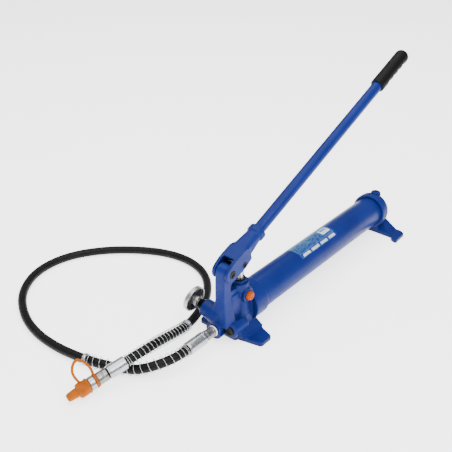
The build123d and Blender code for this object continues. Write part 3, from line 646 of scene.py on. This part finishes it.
ferrule_a = lathe("ferrule_a_sleeve", "ferrule_a", PORT, -X,
                  [(92, 0), (92, 10.9), (96, 12.9), (101, 12.95), (102, 12.6), (103, 12.95), (137, 12.95),
                   (141, 12.3), (141, 0)],
                  [ZINC_X], edge=0.5, warp=crimped(103, 137, count=8, depth=0.25))
ferrule_b = lathe("ferrule_b_sleeve", "ferrule_b", hose_end, coupling_dir,
                  [(0, 0), (0, 11.4), (1.5, 12.9), (33, 12.95), (34, 12.5), (35, 12.9), (37, 12.6),
                   (37, 0)],
                  [ZINC_END], edge=0.5, warp=crimped(2, 33, count=8, depth=0.25))
nipple = lathe("end_nipple_body", "end_nipple", hose_end, coupling_dir,
               [(37, 0), (37, 10.4), (39.5, 10.4), (39.5, 11.4), (41, 11.95), (47, 11.95), (48, 11.4),
                (49.4, 11.4), (50.4, 11.95), (58, 11.95), (59.5, 11.2), (59.5, 8.9), (64, 8.9), (64, 0)],
               [STEEL_END, BLACKED], edge=0.4, paint=lambda s, r: 1 if s < 39.5 else 0)
coupler = lathe("coupler_nose", "coupler_body", hose_end, coupling_dir,
                [(64, 0), (64, 8.95), (84, 8.95), (86, 8), (86, 5.2), (70, 5), (70, 0)],
                [STEEL_END], edge=0.3)
collar = lathe("coupler_collar_ring", "coupler_ring", hose_end, coupling_dir,
               [(64.4, 9.1), (64.4, 12.2), (65.4, 12.9), (74.4, 12.9), (75.4, 12.2), (75.4, 9.1)],
               [ZINC_END], loop=True, segments=192, edge=0.3,
               warp=knurled(count=48, depth=0.35, least_radius=12, low=66, high=74))
cap = lathe("dust_cap_body", "dust_cap", hose_end, coupling_dir,
            [(93, 0), (93, 9.5), (76, 9.5), (76, 13.6), (77, 14.3), (80, 14.3), (81, 13.7), (84, 13.6),
             (85, 14.2), (95, 14.2), (98.5, 12.5), (99, 9.4), (100.5, 8.7), (104, 8.9), (116, 7.7),
             (119, 6.4), (119.9, 3.5), (119.9, 0)],
            [ORANGE_SOFT], edge=0.9)
lathe("adapter_neck", "hose_adapter", PORT, -X,
      [(54, 2.7), (54, 6.4), (54.6, 6.95), (69, 6.95), (69, 10.9), (72, 10.9), (73, 10.2), (84, 10.0),
       (86, 10.9), (92, 10.9), (92, 2.7)],
      [STEEL_X], loop=True, edge=0.35)
lathe("port_seal_ring", "port_seal", PORT, -X, [(66, 7.2), (66, 11.4), (69, 11.4), (69, 7.2)],
      [WHITE], loop=True, edge=0.8)


# ================================================================ castings
def sole(reach):
    """The flat underside of the feet, as a wide low cylinder."""
    return (ORIGIN, Z, reach, -2, 0.6)


# each kept cylinder: a point on its axis, the axis, its radius, and its two ends along the axis
casting("pump_body_cast", "pump_body", CAST, voxel=0.8, rounds=16, kept=[
    (ORIGIN, Z, 15.5, 22, 117),               # the piston's bore
    (fulcrum, Y, 9.5, -12, 12),               # the fulcrum's hole
    (TANK, X, 37.5, 20, 49),                  # the tank's seat
    (PORT, X, 12.5, -67, -37),                # the hose port
    (RELIEF, X, 12.5, -51, -10),              # the relief plug's port
    (INTAKE, X, 8.5, -2, 40),                 # the intake's bore
    (valve_at, valve_dir, 10.5, 8, 48),       # the release valve's bore
    (GAUGE_PLUG, Y, 8.0, -1, 10),             # the gauge plug's hole
    sole(200),
])
casting("lever_socket_cast", "handle_socket", CAST, voxel=0.7, rounds=14, kept=[
    (fulcrum, Y, 9.5, -20, 20),               # the fulcrum's hole
    (piston_pin, Y, 7.5, -20, 20),            # the piston pin's hole
    (rod_line, lever_dir, 13.5, 60, 110),     # the rod's socket
])
casting("rear_cap_cast", "rear_cap", CAST, voxel=0.8, rounds=16, kept=[
    (TANK, X, 38.5, 500, 516),                # the tank's seat
    (TANK, X, 7, 514, 545),                   # the tie rod's hole
    (FILLER, Z, 12.6, 60, 94),                # the filler's hole
    sole(900),
])
casting("grip_moulding", "grip", GRIP, voxel=0.7, rounds=12, kept=[
    (rod_line, lever_dir, 13.2, 560, 678),    # the rod's hole
])

# ================================================================ turned and drawn pieces
lathe("tank_tube", "reservoir_tube", TANK, X, [(24, 31.5), (24, 35), (515, 35), (515, 31.5)],
      [PAINT], loop=True, segments=192, edge=0.4)
lathe("lever_tube", "handle_rod", rod_line, lever_dir, [(62, 9.4), (62, 12), (677, 12), (677, 9.4)],
      [PAINT], loop=True, segments=96, edge=0.4)
for name, node, centre, radius in (("fulcrum_pin_turned", "fulcrum_pin", fulcrum, 8.0),
                                   ("piston_pin_turned", "piston_pin", piston_pin, 6.0)):
    lathe(name, node, centre, Y,
          [(-17.6, 0), (-17.6, radius * 0.35), (-18.4, radius * 0.55), (-19.5, radius * 0.62),
           (-19.5, radius - 1), (-18.5, radius), (18.5, radius), (19.5, radius - 1), (19.5, 0)],
          [BLACKED], edge=0.3, segments=72)
lathe("gauge_plug_dome", "gauge_port_plug", GAUGE_PLUG, -Y,
      [(-7, 0), (-7, 6.4), (0, 6.4), (0, 9.2), (1.2, 9.45), (4.6, 9.4), (7, 8.1), (7.9, 5.6), (7.9, 2.6),
       (7.2, 2.2), (7.2, 0)],
      [ORANGE], edge=1.0)
lathe("relief_plug_cover", "front_plug", RELIEF, -X,
      [(45, 0), (45, 6.9), (50, 6.9), (50, 11.2), (51.4, 11.4), (52.4, 10.6), (52.4, 7.2), (51.4, 6.6),
       (51.4, 0)],
      [BLACK], edge=0.6)
lathe("filler_plug_cover", "filler_plug", FILLER, Z,
      [(83.5, 0), (83.5, 5.9), (94.5, 5.9), (94.5, 11.2), (95.3, 11.4), (97.4, 11.3), (98.4, 10.2),
       (98.5, 4.4), (96.6, 4.0), (96.6, 0)],
      [CAST], edge=0.5, segments=144, warp=knurled(count=24, depth=0.5, least_radius=10.5))
lathe("knob_wheel", "release_knob", valve_at, valve_dir,
      [(63.5, 5.2), (63.5, 10.2), (64.3, 10.9), (78, 10.9), (78, 23.9), (72.2, 23.9), (71.6, 24.6),
       (71.6, 26.2), (72.6, 26.95), (80, 26.95), (80.9, 26), (80.9, 5.2)],
      [ZINC_VALVE, DARK_RECESS], loop=True, segments=240, edge=0.45,
      warp=knurled(count=80, depth=0.3, least_radius=26.5, low=73, high=80),
      paint=lambda s, r: 1 if 11.2 < r < 23.8 and 76 < s < 79 else 0)
lathe("knob_screw_socket", "knob_set_screw", valve_at + valve_dir * 67.5 - X * 10.85, -X,
      [(-0.5, 0), (-0.5, 2.1), (0.14, 2.1), (0.14, 1.6), (-0.3, 1.4), (-0.3, 0)],
      [BLACK], edge=0.05, segments=40)
lathe("gland_cone", "release_gland", valve_at, valve_dir,
      [(38, 5.1), (38, 8.9), (47, 8.9), (47, 14.2), (48.4, 14.1), (54, 11.6), (55, 10.6), (60, 8.9),
       (60, 5.1)],
      [BLACKED], loop=True, edge=0.5)
lathe("stem_turned", "release_stem", valve_at, valve_dir,
      [(12, 0), (12, 1), (16, 4.95), (28, 4.95), (28, 3.8), (30.6, 3.8), (30.6, 4.95), (78.8, 4.95),
       (78.8, 0)],
      [ZINC_VALVE], edge=0.2, segments=64)


def off_corner(x, angle):
    """Draw a point of the sticker in, where it lies outside a rounded corner."""
    past_x = LABEL_CORNER - min(x - LABEL_X[0], LABEL_X[1] - x)
    past_angle = LABEL_CORNER - LABEL_MM_PER_DEGREE * min(angle - LABEL_ANGLE[0],
                                                          LABEL_ANGLE[1] - angle)
    reach = math.hypot(past_x, past_angle)
    if past_x > 0 and past_angle > 0 and reach > LABEL_CORNER:
        pull = 1 - LABEL_CORNER / reach
        x += math.copysign(past_x * pull, sum(LABEL_X) / 2 - x)
        angle += math.copysign(past_angle * pull / LABEL_MM_PER_DEGREE, sum(LABEL_ANGLE) / 2 - angle)
    return x, angle


def label_patch(rows, columns):
    """The tank's sticker: a thin curved sheet with rounded corners."""
    length = LABEL_X[1] - LABEL_X[0]
    sweep = LABEL_ANGLE[1] - LABEL_ANGLE[0]
    points = []
    for radius in LABEL_RADII:
        for i in range(rows + 1):
            for j in range(columns + 1):
                x, angle = off_corner(LABEL_X[0] + length * j / columns,
                                      LABEL_ANGLE[0] + sweep * i / rows)
                turn = math.radians(angle)
                points.append((x * MM, -radius * math.cos(turn) * MM,
                               (TANK.z + radius * math.sin(turn)) * MM))
    stride = columns + 1
    sheet = (rows + 1) * stride
    faces = []
    for i in range(rows):
        for j in range(columns):
            a = i * stride + j
            b = a + 1
            c = b + stride
            d = a + stride
            faces.append((a, d, c, b))
            faces.append((a + sheet, b + sheet, c + sheet, d + sheet))
    rim = ([(0, j) for j in range(columns)] + [(i, columns) for i in range(rows)]
           + [(rows, j) for j in range(columns, 0, -1)] + [(i, 0) for i in range(rows, 0, -1)])
    for (i, j), (k, m) in zip(rim, rim[1:] + rim[:1]):
        here = i * stride + j
        ahead = k * stride + m
        faces.append((here, ahead, ahead + sheet, here + sheet))
    claim(mesh_object("tank_sticker", points, faces, [LABEL], crease=50), "tank_label")


label_patch(rows=48, columns=60)

# ================================================================ CAD pieces that stay
KEPT = {
    "front_tank_seal": SEAL, "rear_tank_seal": SEAL, "filler_seal": SEAL, "tie_rod": STEEL_X,
    "tie_rod_washer": ZINC_X, "tie_rod_nut": ZINC_X, "intake_seat": STEEL_X, "suction_filter": BRASS,
    "intake_ball": STEEL_X, "intake_spring": WIRE, "outlet_ball": STEEL_X, "outlet_spring": WIRE,
    "relief_ball": STEEL_X, "relief_spring": WIRE, "relief_screw": STEEL_X, "gland_seal": SEAL,
    "gland_nut": PAINT, "wiper_ring": SEAL, "piston": ZINC_Z, "piston_cup": SEAL,
    "socket_set_screw": BLACKED, "fulcrum_roll_pin": BLACKED, "stem_oring": SEAL,
    "cap_strap": ORANGE_SOFT,
}
BEVELLED = ("tie_rod_washer", "tie_rod_nut", "gland_nut", "piston", "cap_strap")


def dress(obj, material):
    """Give a CAD piece its material, without changing its shape."""
    obj.data.materials.clear()
    obj.data.materials.append(material)
    obj.data.shade_smooth()
    weld = obj.modifiers.new("weld", "WELD")
    weld.merge_threshold = 1e-6


def plump(obj, thickness):
    """Make a piece fuller on every face."""
    swell = obj.modifiers.new("plump", "DISPLACE")
    swell.strength = thickness * MM
    swell.mid_level = 0


def break_edges(obj, width):
    """Narrow rounded edges that catch the light."""
    bevel = obj.modifiers.new("edge", "BEVEL")
    bevel.width = width * MM
    bevel.segments = 2
    bevel.limit_method = "ANGLE"
    bevel.angle_limit = math.radians(40)
    bevel.harden_normals = True


for node, material in KEPT.items():
    dress(NODES[node], material)
plump(NODES["cap_strap"], 0.8)
for node in BEVELLED:
    break_edges(NODES[node], 0.35)


# ================================================================ floor and light
def plain_floor(reach):
    """A pale floor that glows a little, so that it shows as nearly white."""
    ground = Material("floor_white")
    ground.set("Base Color", ground.mix(ground.noise(3, 2), (0.93, 0.93, 0.93), (0.96, 0.96, 0.96)))
    ground.set("Emission Color", (1.0, 1.0, 1.0))
    ground.set("Emission Strength", 2.2)
    ground.set("Roughness", 0.7)
    ground.set("Specular IOR Level", 0.2)
    corners = [(-reach, -reach, 0), (reach, -reach, 0), (reach, reach, 0), (-reach, reach, 0)]
    return mesh_object("floor", corners, [(0, 1, 2, 3)], [ground.material])


floor = plain_floor(20)


def lamp(name, place, aim, size, power):
    """A large soft area light."""
    data = bpy.data.lights.new(name, "AREA")
    data.shape = "RECTANGLE"
    data.size, data.size_y = size
    data.energy = power
    obj = link(bpy.data.objects.new(name, data))
    obj.location = place
    obj.rotation_euler = (Vector(aim) - Vector(place)).to_track_quat("-Z", "Y").to_euler()


lamp("key", (-0.6, -1.6, 2.4), (0.1, 0.1, 0.1), (2.2, 1.6), 90)
lamp("top", (0.3, 0.6, 2.8), (0.1, 0.1, 0.0), (3.0, 3.0), 110)
lamp("fill", (-2.4, 0.4, 1.2), (0.0, 0.1, 0.1), (1.6, 1.6), 10)


def studio_sky(horizon, overhead, full_at):
    """A white sky that grows brighter from the horizon up to the height full_at."""
    world = bpy.data.worlds.new("studio")
    world.use_nodes = True
    tree = world.node_tree
    place = tree.nodes.new("ShaderNodeTexCoord")
    height = tree.nodes.new("ShaderNodeSeparateXYZ")
    rise = tree.nodes.new("ShaderNodeMapRange")
    background = tree.nodes["Background"]
    background.inputs["Color"].default_value = (1.0, 1.0, 1.0, 1)
    for key, number in (("From Min", 0.0), ("From Max", full_at), ("To Min", horizon),
                        ("To Max", overhead)):
        rise.inputs[key].default_value = number
    tree.links.new(place.outputs["Generated"], height.inputs[0])
    tree.links.new(height.outputs["Z"], rise.inputs["Value"])
    tree.links.new(rise.outputs["Result"], background.inputs["Strength"])
    bpy.context.scene.world = world


studio_sky(horizon=0.35, overhead=0.60, full_at=0.7)

bpy.context.view_layer.update()
